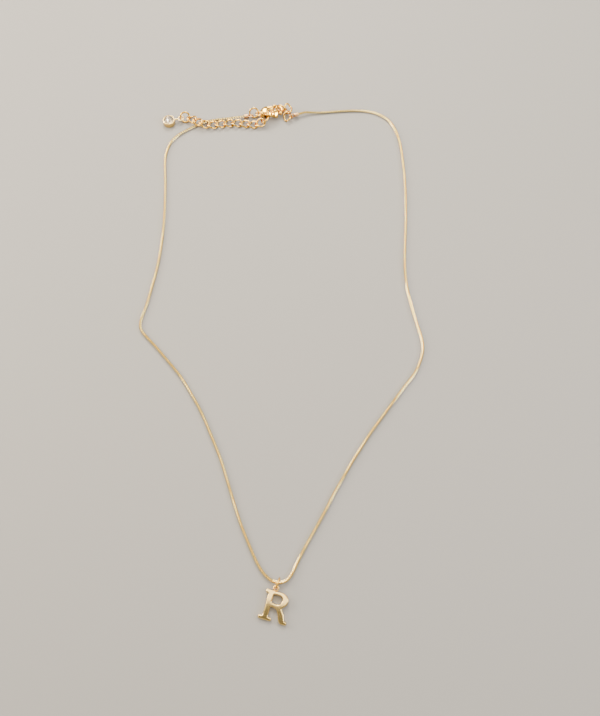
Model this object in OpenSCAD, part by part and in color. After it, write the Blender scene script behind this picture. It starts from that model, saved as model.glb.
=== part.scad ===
// Initial pendant on a fine box chain, laid open on a table and fastened behind.
// X runs to the right, Y away from the letter towards the clasp, Z up from the table.

/* [Chain] */
// Thickness of the box chain over its corners
chain_d = 0.95; // [0.8:0.05:1.1]

/* [Letter] */
// Height of the letter from foot to top
letter_h = 8; // [6:0.1:10]
// Width of the letter from foot to foot
letter_w = 8.3; // [6.5:0.1:10.5]
// Thickness of the letter
letter_t = 1.2; // [0.9:0.1:1.6]
// Width of the letter's upright stem
stem_w = 1.4; // [1.1:0.05:1.7]
// Width of the letter's thin strokes and serifs
thin_w = 0.85; // [0.7:0.05:1.2]
// Turn of the lying letter in its own plane, in degrees
letter_turn = -16; // [-40:1:40]
// Outer diameter of the letter's soldered loop
loop_d = 1.8; // [1.7:0.05:2.2]
// Wire of the letter's soldered loop
loop_wire = 0.45; // [0.3:0.05:0.5]

/* [Pendant ring] */
// Outer diameter of the ring that carries the letter
pendant_ring_d = 3.4; // [3.2:0.1:4.5]
// Wire of the ring that carries the letter
pendant_ring_wire = 0.45; // [0.3:0.05:0.5]

/* [Chain ends] */
// Diameter of each crimped end cap
cap_d = 1.45; // [1.35:0.05:1.6]
// Length of each crimped end cap
cap_l = 1.5; // [1:0.1:2]
// Outer diameter of the loop on each end cap
cap_loop_d = 2.2; // [2.1:0.05:2.5]
// Wire of the loop on each end cap
cap_loop_wire = 0.42; // [0.3:0.02:0.46]

/* [Clasp] */
// Outer diameter of the ring between the chain and the clasp
clasp_ring_d = 3.8; // [3.6:0.1:4.4]
// Wire of the ring between the chain and the clasp
clasp_ring_wire = 0.6; // [0.4:0.05:0.65]
// Length of the clasp from its tail hole to the outside of its nose
clasp_l = 9.1; // [8.6:0.1:10]
// Width of the clasp across its arm and lever
clasp_w = 4.4; // [4.2:0.1:5]
// Thickness of the clasp's body
clasp_t = 2.2; // [2.1:0.1:2.6]
// Wire of the clasp's hooked arm
hook_wire = 1.05; // [0.8:0.05:1.1]
// Turn of the lying clasp, in degrees
clasp_turn = 13; // [8:1:18]
// Diameter of the clasp's rivet
rivet_d = 0.7; // [0.5:0.05:0.9]
// Radial gap between the rivet and the lever
rivet_gap = 0.04; // [0.03:0.01:0.06]
// Thickness of the clasp's lever
lever_t = 0.9; // [0.7:0.05:1.1]
// Gap between the lever and what it moves past
lever_gap = 0.12; // [0.1:0.01:0.2]

/* [Extender] */
// Outer length of one extender link
link_l = 4.3; // [4.1:0.05:4.6]
// Outer width of one extender link
link_w = 3.3; // [3.1:0.05:3.5]
// Wire of the extender links
link_wire = 0.6; // [0.5:0.02:0.64]
// Free play between two links of the pulled extender
link_play = 0.15; // [0.1:0.01:0.25]

/* [Drop] */
// Outer diameter of the ring that carries the drop
drop_ring_d = 3.9; // [3.6:0.1:4.5]
// Wire of the ring that carries the drop
drop_ring_wire = 0.6; // [0.4:0.05:0.65]
// Diameter of the drop's cut stone
stone_d = 3.7; // [3:0.1:4.5]
// Wall of the bezel round the stone
bezel_wall = 0.28; // [0.2:0.02:0.4]
// Height of the bezel cup
bezel_h = 1.9; // [1.7:0.1:2.3]
// Outer diameter of the drop's loop
drop_loop_d = 2.3; // [2:0.05:2.5]
// Wire of the drop's loop
drop_loop_wire = 0.42; // [0.3:0.02:0.46]

/* [Hidden] */
// Sides of the chain's tube, steps round a link and sides of its wire, and sides of the cut stone
CHAIN_SIDES = 8;
LINK_SIDES = 16;
WIRE_SIDES = 6;
STONE_SIDES = 16;
$fn = 48;

// Gap left between loose pieces that could touch
gap = 0.1;
// Gaps above the table under a ring or link, under a standing loop, and under the left cap
ring_rest = 0.01;
loop_rest = 0.02;
cap_rest = 0.05;
// How far a cut runs past the faces that it opens
cut_past = 1;

// The chain's course on the table, from the clasp round the letter to the extender
route = [
    [-13.2, 83.1], [-14.7, 82.9], [-16.2, 82.7], [-19.6, 82.3], [-23.5, 82], [-28, 81],
    [-32.5, 78.5], [-36.5, 76], [-39.5, 73], [-41, 69], [-41.5, 64.5], [-41, 59.5],
    [-40.5, 54], [-40, 43], [-40, 32],
    [-41, 21.5], [-42, 16], [-43, 10.5], [-44, 6], [-45, 3], [-45, 0], [-43, -2.5],
    [-40, -5.5], [-37, -9], [-34, -12.5], [-31, -16], [-28.5, -20], [-26, -24], [-23.5, -28.5],
    [-21.5, -33], [-19.5, -37.5], [-17.5, -42], [-16, -46.5], [-14.5, -51], [-11.5, -60],
    [-9.5, -64.5], [-7.5, -69], [-6, -72], [-4.4, -74.5], [-2.3, -76.5], [-0.1, -77.3], [2.1, -76.9],
    [3.7, -75], [5, -72.2], [6.5, -69], [11.5, -60.5], [14, -56], [16, -52],
    [18.5, -48], [21, -43.5], [24, -39], [26.5, -35], [29.5, -31], [32.5, -27], [35.5, -23], [38.5, -19],
    [41.5, -15.5], [43.5, -11.5], [45, -7], [44.5, -2.5], [43, 2.5], [42, 7.5], [41, 13], [40.5, 18.5],
    [40.5, 24], [41.5, 36], [42, 42], [42.5, 54], [42, 66], [41.5, 72],
    [40, 78.5], [37, 83], [32, 85.5], [26, 86], [19, 85.5], [13.5, 84.9], [9.8, 84.8], [7.7, 84.6],
    [5.95, 83.9], [4.45, 83.35]
];

// Where the clasp's nose lies for the chosen route, and the shares of its shift that the last points follow
route_nose = [-0.59, 85.59];
nose_share = [1, 1, 1, 1, 0.6, 0.3];

// Height at which the pendant ring carries the chain and the letter's loop, and the route's row there
hang_z = pendant_ring_wire + gap + chain_d / 2;
hang_point = 40;

// Shares of its full lift that the chain has at, beside and next but one to the lifted point
hang_lift = [1.25, 0.65, 0.1];
end_lift = [1, 1, 1, 0.4];
// Length of chain in each cap, and height of the chain's right end, whose loop stands upright
cap_grip = 0.9;
right_z = cap_loop_d / 2 + loop_rest;

// Lean of the two large rings away from the viewer, and their contact angles on the left and right
clasp_ring_lean = 55;
clasp_ring_left = -140;
clasp_ring_right = -14;
drop_ring_lean = 48;
// The left cap lies just off the table, or as high as the clasp ring on its loop holds it
clasp_ring_r = (clasp_ring_d - clasp_ring_wire) / 2;
ring_lift = clasp_ring_r * sin(clasp_ring_lean) * (1 + sin(clasp_ring_left));
ring_hold = ring_lift + clasp_ring_wire / 2 + ring_rest;
left_z = max(cap_d / 2 + cap_rest, ring_hold);

// Half length and width of a link's centre line, and the way from one link's end to the next one's centre
link_long = (link_l - link_wire) / 2;
link_wide = (link_w - link_wire) / 2;
link_reach = link_long - link_wire - link_play;
// Turn of a link's ends against its middle, how high it then rises as a share of its half width, and
// the height of its centre where it lies on the table
link_twist = 45;
twist_rise = 0.37;
link_rest_z = link_wire / 2 + link_wide * twist_rise + ring_rest;

// The three links at the clasp's nose, from the chain's end on: shift from their seat in mm, azimuth,
// climb and roll in degrees
nose_links = [
    [[-0.15, 0.08, 0.2], 85, 8, 0],
    [[0.6, 0, 0.4], 92, 10, 10],
    [[-0.1, 0, 0.05], 185, 15, 90]
];

// The extender's walk from the clasp to the drop, one row for each link from the fourth on.
// Azimuth, climb and roll in degrees, reach from the link before as a share of link_reach, and lift
// of the link's centre above one that lies on the table, in mm.
walk = [
    [240, 15, 0, 0.82, 1.67],
    [210, 10, 0, 1, 2.2],
    [235, -40, 0, 0.65, 1.6],
    [195, -15, -15, 0.7, 0.4],
    [173, 0, 0, 0.9, 0],
    [173, 0, 0, 0.9, 0],
    [178, 0, 0, 0.9, 0],
    [187, 0, 0, 1, 0],
    [189, 0, 0, 1, 0],
    [185, 2, 0, 0.95, 0.05],
    [168, 12, -5, 0.8, 0.6],
    [145, 0, 0, 0.75, 0.85],
    [145, -10, 0, 0.75, 0.4]
];
link_count = len(nose_links) + len(walk);

function link_name(i) = str("link_", i < 10 ? "0" : "", i);

// A pose is [place, azimuth, climb, roll]: roll about X, then climb, then azimuth, then the place.
function about_x(a, v) = [v.x, v.y * cos(a) - v.z * sin(a), v.y * sin(a) + v.z * cos(a)];
function about_y(a, v) = [v.x * cos(a) + v.z * sin(a), v.y, v.z * cos(a) - v.x * sin(a)];
function about_z(a, v) = [v.x * cos(a) - v.y * sin(a), v.x * sin(a) + v.y * cos(a), v.z];
function posed(pose, v) = pose[0] + about_z(pose[1], about_y(-pose[2], about_x(pose[3], v)));
function unit(v) = v / norm(v);
module put(pose)
    translate(pose[0]) rotate([0, 0, pose[1]]) rotate([0, -pose[2], 0]) rotate([pose[3], 0, 0]) children();

// Triangles of a tube of n rings with k points each, closed on itself or capped at both ends
function tube_faces(n, k, closed) = concat(
    [for (i = [0:n - (closed ? 1 : 2)], j = [0:k - 1])
        let (next_i = (i + 1) % n, next_j = (j + 1) % k)
        let (a = i * k + j, b = i * k + next_j, c = next_i * k + next_j, d = next_i * k + j)
        each [[a, c, b], [a, d, c]]],
    closed ? [] : [[for (j = [0:k - 1]) j], [for (j = [k - 1:-1:0]) (n - 1) * k + j]]
);

// A point at an angle on a circle whose first axis is a and second axis is b
function on_circle(r, angle, a, b) = r * (cos(angle) * a + sin(angle) * b);

module wire_ring(outer_d, wire)
    rotate_extrude() translate([(outer_d - wire) / 2, 0]) circle(d = wire);

// Box chain

// The chosen point i as [x, y, z], with the row before the first and after the last run on straight
function lift_share(shares, steps) = steps < len(shares) ? shares[steps] : 0;
function route_z(i) = chain_d / 2
    + (hang_z - chain_d / 2) * lift_share(hang_lift, abs(i - hang_point))
    + (left_z - chain_d / 2) * lift_share(end_lift, i)
    + (right_z - chain_d / 2) * lift_share(end_lift, len(route) - 1 - i);
function route_point(i) =
    i < 0 ? 2 * route_point(0) - route_point(1)
    : i >= len(route) ? 2 * route_point(len(route) - 1) - route_point(len(route) - 2)
    : let (shift = nose_shift(lift_share(nose_share, len(route) - 1 - i)))
    [route[i].x + shift.x, route[i].y + shift.y, route_z(i)];
function nose_shift(share) = share == 0 ? [0, 0] : share * ([nose_place.x, nose_place.y] - route_nose);
function chain_centre(i) = (route_point(i - 1) + 4 * route_point(i) + route_point(i + 1)) / 6;
function chain_heading(i) = unit(route_point(i + 1) - route_point(i - 1));

module box_chain() {
    n = len(route);
    ring = [for (i = [0:n - 1])
        let (along = chain_heading(i), side = unit(cross([0, 0, 1], along)), up = cross(along, side))
        for (j = [0:CHAIN_SIDES - 1])
            chain_centre(i) + on_circle(chain_d / 2, j * 360 / CHAIN_SIDES, side, up)];
    color("#d8b060") polyhedron(ring, tube_faces(n, CHAIN_SIDES, false));
}

// Letter

// The letter lies with its foot on the table and its loop lifted into the pendant ring, which is
// turned by hang_turn about Z and whose centre lies hang_offset from the chain's.
hang_turn = -110;
hang_offset = 0.2;
pendant_ring_r = (pendant_ring_d - pendant_ring_wire) / 2;
hang_reach = sqrt(pow(pendant_ring_r, 2) - pow(pendant_ring_d / 2 - hang_z, 2));
hang_at = chain_centre(hang_point);
pendant_ring_at = hang_at + about_z(hang_turn, [hang_offset, 0, 0]);
loop_sink = 0.12;
loop_x = 0.33 * letter_w;
loop_y = letter_h + loop_d / 2 - loop_sink;
loop_at = pendant_ring_at + about_z(hang_turn, [hang_reach, 0, 0]);
letter_tilt = asin((hang_z - letter_t / 2) / loop_y);
letter_pose = [[loop_at.x, loop_at.y, 0] - about_z(letter_turn, [loop_x, loop_y * cos(letter_tilt), 0]),
    letter_turn, 0, letter_tilt];

// Its outline starts at the tip of its left foot, with places as shares of letter_w and letter_h
serif_r = thin_w / 2;
stem_x = 0.135 * letter_w;
bowl_x = 0.2 * letter_w;
bowl_end = 0.82 * letter_w;
bowl_r = 0.25 * letter_h;
bowl_overlap = 0.1;
bowl_low = letter_h - 2 * bowl_r - bowl_overlap;
counter_x = bowl_end - 1.33 * bowl_r;
counter_r = bowl_r - 0.95 * thin_w;
counter_corner = 0.25;

// The leg's joints from the bowl to its foot: x as a share of letter_w, y in mm, and radius
leg_r = 0.46 * stem_w;
ankle_r = 0.65 * thin_w;
leg = [
    [0.6, 0.46 * letter_h, leg_r],
    [0.69, 0.33 * letter_h, leg_r],
    [0.76, 0.16 * letter_h, leg_r],
    [0.84, ankle_r, ankle_r],
    [1 - serif_r / letter_w, 0.075 * letter_h, serif_r]
];
function leg_place(i) = [leg[i][0] * letter_w, leg[i][1]];

// A stroke with round ends
module stroke(from, to, from_r, to_r) hull() {
    translate(from) circle(from_r);
    translate(to) circle(to_r);
}
module letter_stem() {
    stem_end = stem_x + stem_w;
    top_y = letter_h - serif_r;
    translate([stem_x, 0]) square([stem_w, letter_h]);
    stroke([serif_r, serif_r], [stem_end + 1.5 * serif_r, serif_r], serif_r, serif_r);
    stroke([1.3 * serif_r, top_y], [bowl_x, top_y], serif_r, serif_r);
}
module letter_counter() hull() {
    left = stem_x + stem_w + counter_corner;
    translate([counter_x, letter_h - bowl_r]) circle(counter_r);
    translate([left, letter_h - thin_w - counter_corner]) circle(counter_corner);
    translate([left, letter_h - 2 * bowl_r + 0.9 * thin_w + counter_corner]) circle(counter_corner);
}
module letter_bowl() difference() {
    union() {
        translate([bowl_end - bowl_r, letter_h - bowl_r]) circle(bowl_r);
        translate([bowl_x, bowl_low]) square([bowl_end - bowl_r - bowl_x, letter_h - bowl_low]);
    }
    letter_counter();
}
module letter_leg()
    for (i = [1:len(leg) - 1])
        stroke(leg_place(i - 1), leg_place(i), leg[i - 1][2], leg[i][2]);
module letter_outline() union() {
    letter_stem();
    letter_bowl();
    letter_leg();
}
module letter() put(letter_pose) color("#e6d7a6") {
    linear_extrude(letter_t) letter_outline();
    translate([loop_x, loop_y, letter_t / 2]) wire_ring(loop_d, loop_wire);
}
module pendant_ring() color("#e0bc72")
    translate([pendant_ring_at.x, pendant_ring_at.y, pendant_ring_d / 2])
        rotate([90, 0, hang_turn]) wire_ring(pendant_ring_d, pendant_ring_wire);

// End caps

cap_reach = cap_l - cap_grip + (cap_loop_d - cap_loop_wire) / 2;
left_cap_roll = -30;
right_cap_roll = 90;
function azimuth(v) = atan2(v.y, v.x);
function climb(v) = asin(v.z / norm(v));
left_way = -chain_heading(0);
left_pose = [chain_centre(0), azimuth(left_way), climb(left_way), left_cap_roll];
left_loop = posed(left_pose, [cap_reach, 0, 0]);

// The cap grips the last of the chain in a bore and ends in its loop
module chain_end() color("#e0ae74") {
    difference() {
        translate([-cap_grip, 0, 0]) rotate([0, 90, 0]) cylinder(d = cap_d, h = cap_l);
        translate([-cap_grip - cut_past, 0, 0]) rotate([0, 90, 0])
            cylinder(d = chain_d + gap, h = cap_grip + cut_past + gap / 2);
    }
    translate([cap_reach, 0, 0]) wire_ring(cap_loop_d, cap_loop_wire);
}
module chain_end_left() put(left_pose) chain_end();
module chain_end_right() put(right_pose) chain_end();

// Clasp ring

function leaning(lean, r, a) = r * [cos(a), sin(a) * cos(lean), sin(a) * sin(lean)];
clasp_ring_at = left_loop - leaning(clasp_ring_lean, clasp_ring_r, clasp_ring_left);
module clasp_ring()
    color("#e6c57e") translate(clasp_ring_at) rotate([clasp_ring_lean, 0, 0])
        wire_ring(clasp_ring_d, clasp_ring_wire);

// Clasp, along X from its tail hole, with the lever on its -Y side

clasp_tail = clasp_ring_at + leaning(clasp_ring_lean, clasp_ring_r, clasp_ring_right);
clasp_pose = [clasp_tail, clasp_turn, 0, 0];
tail_d = 2.2;
tail_wire = 0.55;
arm_y = (clasp_w - hook_wire) / 2;
nose_x = clasp_l - arm_y - hook_wire / 2;
nose_tip_d = hook_wire * 1.15;
hook_sweep = 150;
hook_turn = 90 - hook_sweep;
// The shoulder widens like a pear from pear_x to pear_end and is closed at body_l, where the arm is rooted
body_l = 3.8;
body_d = clasp_w - 0.1;
pear_x = 0.7;
pear_end = body_l - 0.6;
arm_x = body_l - 0.8;
// The rivet, the lever's round head on it, and the slot for the head, which is open towards the lever
rivet_x = body_l - 0.7;
rivet_y = -0.9;
rivet_play = 0.02;
rivet_inset = 0.05;
head_r = rivet_d / 2 + 0.5;
slot_x = rivet_x - head_r - 0.35;
slot_y = 0.55;
slot_t = lever_t + 2 * lever_gap;
lever_tip_x = nose_x + arm_y * cos(hook_turn) - nose_tip_d / 2 - lever_gap;

module clasp_body() put(clasp_pose) color("#e2bf78") difference() {
    union() {
        wire_ring(tail_d, tail_wire);
        clasp_shoulder();
        translate([arm_x, arm_y, 0]) rotate([0, 90, 0]) cylinder(d = hook_wire, h = nose_x - arm_x);
        translate([nose_x, 0, 0]) rotate([0, 0, hook_turn]) {
            rotate_extrude(angle = hook_sweep) translate([arm_y, 0]) circle(d = hook_wire);
            translate([arm_y, 0, 0]) sphere(d = nose_tip_d);
        }
    }
    translate([slot_x, -clasp_w, -slot_t / 2]) cube([body_l - slot_x + gap, clasp_w + slot_y, slot_t]);
    translate([rivet_x, rivet_y, -clasp_t]) cylinder(d = rivet_d + rivet_play, h = 2 * clasp_t);
}
// A pear turned about X and cut flat above and below
module clasp_shoulder() intersection() {
    rotate([0, 90, 0]) rotate_extrude() polygon(concat([[0, pear_x]],
        [for (t = [0:0.1:1]) [body_d / 2 * (0.25 + 0.75 * sin(90 * t)), pear_x + (pear_end - pear_x) * t]],
        [[body_d / 2 * 0.93, body_l - 0.2], [body_d / 2 * 0.7, body_l], [0, body_l]]));
    translate([0, -clasp_w, -clasp_t / 2]) cube([body_l, 2 * clasp_w, clasp_t]);
}

// The lever's outline: out from the rivet to the thumb tab, round the tip and back inside
tab_x = lever_tip_x - 0.5;
tab_l = 0.5;
tab_reach = 1.3;
lever_outline = [
    [rivet_x, rivet_y - head_r],
    [rivet_x + 1, -arm_y - 0.35],
    [tab_x - tab_l, -arm_y - tab_reach],
    [tab_x, -arm_y - tab_reach],
    [lever_tip_x - 0.25, -arm_y - 0.4],
    [lever_tip_x, -arm_y + 0.45],
    [rivet_x + 1.4, -arm_y + 0.6],
    [rivet_x + 0.5, rivet_y + 0.7]
];
module clasp_lever() put(clasp_pose) color("#e8cb8a") difference() {
    linear_extrude(lever_t, center = true) union() {
        translate([rivet_x, rivet_y]) circle(head_r);
        polygon(lever_outline);
    }
    translate([rivet_x, rivet_y, -lever_t]) cylinder(d = rivet_d + 2 * rivet_gap, h = 2 * lever_t);
}

module clasp_rivet() put(clasp_pose) color("#d9b56c")
    translate([rivet_x, rivet_y, 0]) cylinder(d = rivet_d, h = clasp_t - 2 * rivet_inset, center = true);

// Extender links

// A curb link: an oval turned a quarter round its own length, so that equal links cross squarely
function twist_at(t) = link_twist * cos(t);
function link_centre(t) =
    [link_long * cos(t), link_wide * sin(t) * cos(twist_at(t)), link_wide * sin(t) * sin(twist_at(t))];
module curb_link() {
    step = 360 / LINK_SIDES;
    near = step / 5;
    points = [for (i = [0:LINK_SIDES - 1])
        let (t = i * step, along = unit(link_centre(t + near) - link_centre(t - near)),
            out = unit(cross(along, [0, -sin(twist_at(t)), cos(twist_at(t))])), up = cross(along, out))
        for (j = [0:WIRE_SIDES - 1])
            link_centre(t) + on_circle(link_wire / 2, j * 360 / WIRE_SIDES, out, up)];
    color("#e3c07a") polyhedron(points, tube_faces(LINK_SIDES, WIRE_SIDES, true));
}

// The third link stands through the clasp's nose, the second and first lie beyond it
nose_place = posed(clasp_pose, [nose_x + arm_y, 0, 0]);
right_end = len(route) - 1;
right_way = chain_heading(right_end);
right_pose = [chain_centre(right_end), azimuth(right_way), climb(right_way), right_cap_roll];
function nose_pose(i, seat) = let (row = nose_links[i - 1]) [seat + row[0], row[1], row[2], row[3]];
third_pose = nose_pose(3, [nose_place.x, nose_place.y, link_w / 2]);
second_pose = nose_pose(2, posed(third_pose, [-link_long, 0, 0]));
second_end = posed(second_pose, [-link_long, 0, 0]);
first_pose = nose_pose(1, [second_end.x, second_end.y - link_reach, link_rest_z]);

function walk_pose(row, from) =
    let (ahead = about_z(row[0], [row[3] * link_reach, 0, row[4]]))
    [[from.x, from.y, link_rest_z] + ahead, row[0], row[1], row[2]];
function link_pose(i) =
    i == 1 ? first_pose
    : i == 2 ? second_pose
    : i == 3 ? third_pose
    : walk_pose(walk[i - len(nose_links) - 1], posed(link_pose(i - 1), [link_long, 0, 0]));
module chain_link(i) put(link_pose(i)) curb_link();

// Drop

drop_ring_r = (drop_ring_d - drop_ring_wire) / 2;
drop_ring_shift = [-0.95, -0.55];
last_end = posed(link_pose(link_count), [link_long, 0, 0]);
drop_ring_at = [last_end.x + drop_ring_shift.x, last_end.y + drop_ring_shift.y,
    drop_ring_r * sin(drop_ring_lean) + drop_ring_wire / 2 + loop_rest];
module drop_ring()
    color("#e6c57e") translate(drop_ring_at) rotate([drop_ring_lean, 0, 0])
        wire_ring(drop_ring_d, drop_ring_wire);

// Where the drop's loop meets its ring, the turn of the drop, and the neck between bezel and loop
drop_loop_contact = -165;
drop_turn = 195;
neck_l = 2.2;
neck_d = 0.7;
bezel_d = stone_d + 2 * bezel_wall;
drop_loop_at = drop_ring_at + leaning(drop_ring_lean, drop_ring_r, drop_loop_contact);
drop_at = drop_loop_at + about_z(drop_turn, [neck_l + bezel_d / 2, 0, 0]);

// The stone's cut: heights as shares of stone_d, and widths at its table, stars and seat likewise
stone_gap = 0.03;
girdle_h = 0.12;
rim_h = 0.1;
crown_h = stone_d * 0.16;
pavilion_h = stone_d * 0.36;
table_d = stone_d * 0.56;
star_d = stone_d * 0.8;
star_h = crown_h * 0.58;
culet_d = 0.2;
culet_h = 0.1;
seat_d = stone_d * 0.3;
bezel_floor = 0.15;
girdle_z = bezel_h - girdle_h - rim_h;

module drop_setting() translate([drop_at.x, drop_at.y, 0]) rotate([0, 0, drop_turn]) color("#e0bd76") {
    loop_x = -bezel_d / 2 - neck_l;
    pocket_d = stone_d + 2 * stone_gap;
    pocket_h = girdle_z - bezel_floor;
    difference() {
        union() {
            cylinder(d = bezel_d, h = bezel_h);
            translate([loop_x + (drop_loop_d - drop_loop_wire) / 2, 0, drop_loop_at.z])
                rotate([0, 90, 0]) cylinder(d = neck_d, h = neck_l);
        }
        translate([0, 0, girdle_z]) cylinder(d = pocket_d, h = bezel_h);
        translate([0, 0, bezel_floor]) cylinder(d1 = seat_d, d2 = pocket_d, h = pocket_h + 0.001);
    }
    translate([loop_x, 0, drop_loop_at.z]) wire_ring(drop_loop_d, drop_loop_wire);
}

module drop_stone() translate([drop_at.x, drop_at.y, girdle_z + stone_gap]) rotate([0, 0, drop_turn])
    color("#e8e2d4") hull() {
        cylinder(d = stone_d, h = girdle_h, $fn = STONE_SIDES);
        translate([0, 0, girdle_h]) cylinder(d = table_d, h = crown_h, $fn = STONE_SIDES / 2);
        translate([0, 0, girdle_h]) rotate([0, 0, 360 / STONE_SIDES])
            cylinder(d = star_d, h = star_h, $fn = STONE_SIDES / 2);
        translate([0, 0, -pavilion_h]) cylinder(d = culet_d, h = culet_h, $fn = STONE_SIDES / 2);
    }

letter();
pendant_ring();
box_chain();
chain_end_left();
chain_end_right();
clasp_ring();
clasp_body();
clasp_lever();
clasp_rivet();
for (i = [1:link_count])
    chain_link(i);
drop_ring();
drop_setting();
drop_stone();
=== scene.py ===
"""A fine box-chain necklace with one serif letter, laid open on a pale table and fastened behind."""
import math

import bpy
import numpy as np
from mathutils.geometry import delaunay_2d_cdt
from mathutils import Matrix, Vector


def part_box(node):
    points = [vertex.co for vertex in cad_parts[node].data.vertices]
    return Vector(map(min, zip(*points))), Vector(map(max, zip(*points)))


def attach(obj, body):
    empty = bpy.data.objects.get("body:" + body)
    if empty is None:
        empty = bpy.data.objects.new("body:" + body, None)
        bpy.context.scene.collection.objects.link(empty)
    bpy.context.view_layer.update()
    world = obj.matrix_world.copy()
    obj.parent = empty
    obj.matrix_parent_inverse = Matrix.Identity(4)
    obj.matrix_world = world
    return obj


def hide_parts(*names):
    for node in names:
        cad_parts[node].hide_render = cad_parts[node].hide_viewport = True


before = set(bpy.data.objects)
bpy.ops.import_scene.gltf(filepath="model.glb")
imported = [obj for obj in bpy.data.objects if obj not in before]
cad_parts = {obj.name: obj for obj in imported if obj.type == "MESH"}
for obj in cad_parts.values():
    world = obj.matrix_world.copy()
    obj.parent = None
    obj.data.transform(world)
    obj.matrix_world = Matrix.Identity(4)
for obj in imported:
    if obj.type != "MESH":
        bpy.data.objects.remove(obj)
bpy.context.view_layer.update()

MM = 0.001


# Curves and turns, in millimetres

def unit(v):
    """Each vector divided by its length."""
    return v / np.linalg.norm(v, axis=-1, keepdims=True)


def turn(azimuth=0.0, climb=0.0, roll=0.0):
    """The turn by roll about X, then by climb about -Y, then by azimuth about Z, in degrees."""
    a, c, r = np.radians([azimuth, -climb, roll])
    about_z = np.array([[np.cos(a), -np.sin(a), 0], [np.sin(a), np.cos(a), 0], [0, 0, 1]])
    about_y = np.array([[np.cos(c), 0, np.sin(c)], [0, 1, 0], [-np.sin(c), 0, np.cos(c)]])
    about_x = np.array([[1, 0, 0], [0, np.cos(r), -np.sin(r)], [0, np.sin(r), np.cos(r)]])
    return about_z @ about_y @ about_x


def placed(points, at=(0, 0, 0), spin=np.eye(3)):
    """Points turned by a matrix and then moved to a place."""
    return points @ np.asarray(spin).T + np.asarray(at)


def middle(node):
    """The centre of a CAD node's box, in millimetres."""
    low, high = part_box(node)
    return (np.array(low) + np.array(high)) / 2 / MM


def corner_mean(node):
    """The mean of a CAD node's distinct corners, which is the centre of a part with two-fold turns."""
    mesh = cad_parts[node].data
    co = np.zeros(len(mesh.vertices) * 3)
    mesh.vertices.foreach_get("co", co)
    return np.unique(np.round(co.reshape(-1, 3), 7), axis=0).mean(axis=0) / MM


# Surfaces as grids of points, in millimetres

def strip_faces(rows, columns, wrap_rows, wrap_columns):
    """Quads of a grid of points: (i, j) joins (i+1, j) and (i, j+1), round the end where it wraps."""
    i, j = np.meshgrid(np.arange(rows if wrap_rows else rows - 1),
                       np.arange(columns if wrap_columns else columns - 1), indexing="ij")
    i, j = i.ravel(), j.ravel()
    after_i, after_j = (i + 1) % rows, (j + 1) % columns
    return np.stack([i * columns + j, after_i * columns + j, after_i * columns + after_j,
                     i * columns + after_j], axis=1)


def end_faces(rows, columns):
    """The two faces that close a wrapped grid at its first and its last row."""
    ends = np.arange(columns)
    return [ends[None], (ends + (rows - 1) * columns)[None, ::-1]]


def volume(points, faces):
    """Six times the volume inside faces: the sum of corner . (corner x corner) over each face's fan."""
    total = 0.0
    for k in range(1, faces.shape[1] - 1):
        a, b, c = points[faces[:, 0]], points[faces[:, k]], points[faces[:, k + 1]]
        total += np.einsum("ij,ij->", a, np.cross(b, c))
    return total


def piece(name, parts, body, stands_for, finishes, sharp=45.0):
    """One object made of closed (points, face arrays, finish number) parts, turned to face outwards.

    A part's finish number is one for all its face arrays, or a list with one for each.
    """
    points, faces, kinds, base = [], [], [], 0
    for part_points, part_faces, kind in parts:
        centred = part_points - part_points.mean(axis=0)
        inside_out = sum(volume(centred, f) for f in part_faces) < 0
        for f, number in zip(part_faces, np.broadcast_to(kind, len(part_faces)).tolist()):
            faces += ((f[:, ::-1] if inside_out else f) + base).tolist()
            kinds += [number] * len(f)
        points.append(part_points)
        base += len(part_points)
    mesh = bpy.data.meshes.new(name)
    mesh.from_pydata((np.concatenate(points) * MM).tolist(), [], faces)
    mesh.polygons.foreach_set("use_smooth", np.ones(len(faces), bool))
    mesh.polygons.foreach_set("material_index", np.array(kinds, np.int32))
    mesh.set_sharp_from_angle(angle=math.radians(sharp))
    mesh.update()
    for finish in finishes:
        mesh.materials.append(finish)
    obj = bpy.data.objects.new(name, mesh)
    bpy.context.scene.collection.objects.link(obj)
    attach(obj, body)
    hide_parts(*stands_for)


def at_pose(shapes, at, spin):
    """Each (points, faces) shape turned and moved, as parts in the piece's first finish."""
    return [(placed(points, at, spin), faces, 0) for points, faces in shapes]


def sweep(path, across, above, radius, sides, closed):
    """A circle carried along a path: path(s) + radius(s) (cos v across(s) + sin v above(s))."""
    v = np.linspace(0, 2 * np.pi, sides, endpoint=False)[None, :, None]
    ring = np.cos(v) * across[:, None] + np.sin(v) * above[:, None]
    points = path[:, None] + np.reshape(np.broadcast_to(radius, len(path)), (-1, 1, 1)) * ring
    faces = [strip_faces(len(path), sides, closed, True)]
    return points.reshape(-1, 3), faces if closed else faces + end_faces(len(path), sides)


def tube(path, radius, sides=16):
    """A round bar along a path in one plane, with round ends.

    Across is Z x tangent and above is tangent x across. At each end the rings shrink as the cosine of
    an angle while they go out as its sine.
    """
    tangent = unit(np.gradient(path, axis=0))
    dome = np.radians([89.7, 67, 45, 22])
    head = path[0] - tangent[0] * radius[0] * np.sin(dome)[:, None]
    tail = path[-1] + tangent[-1] * radius[-1] * np.sin(dome[::-1])[:, None]
    radius = np.concatenate([radius[0] * np.cos(dome), radius, radius[-1] * np.cos(dome[::-1])])
    first, last = (np.repeat(tangent[[k]], len(dome), 0) for k in (0, -1))
    tangent = np.concatenate([first, tangent, last])
    across = unit(np.cross([0.0, 0.0, 1.0], tangent))
    path = np.concatenate([head, path, tail])
    return sweep(path, across, np.cross(tangent, across), radius, sides, False)


# the width of a sawn cut at the outside of its ring, in millimetres
SAW_CUT = 0.04


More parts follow.
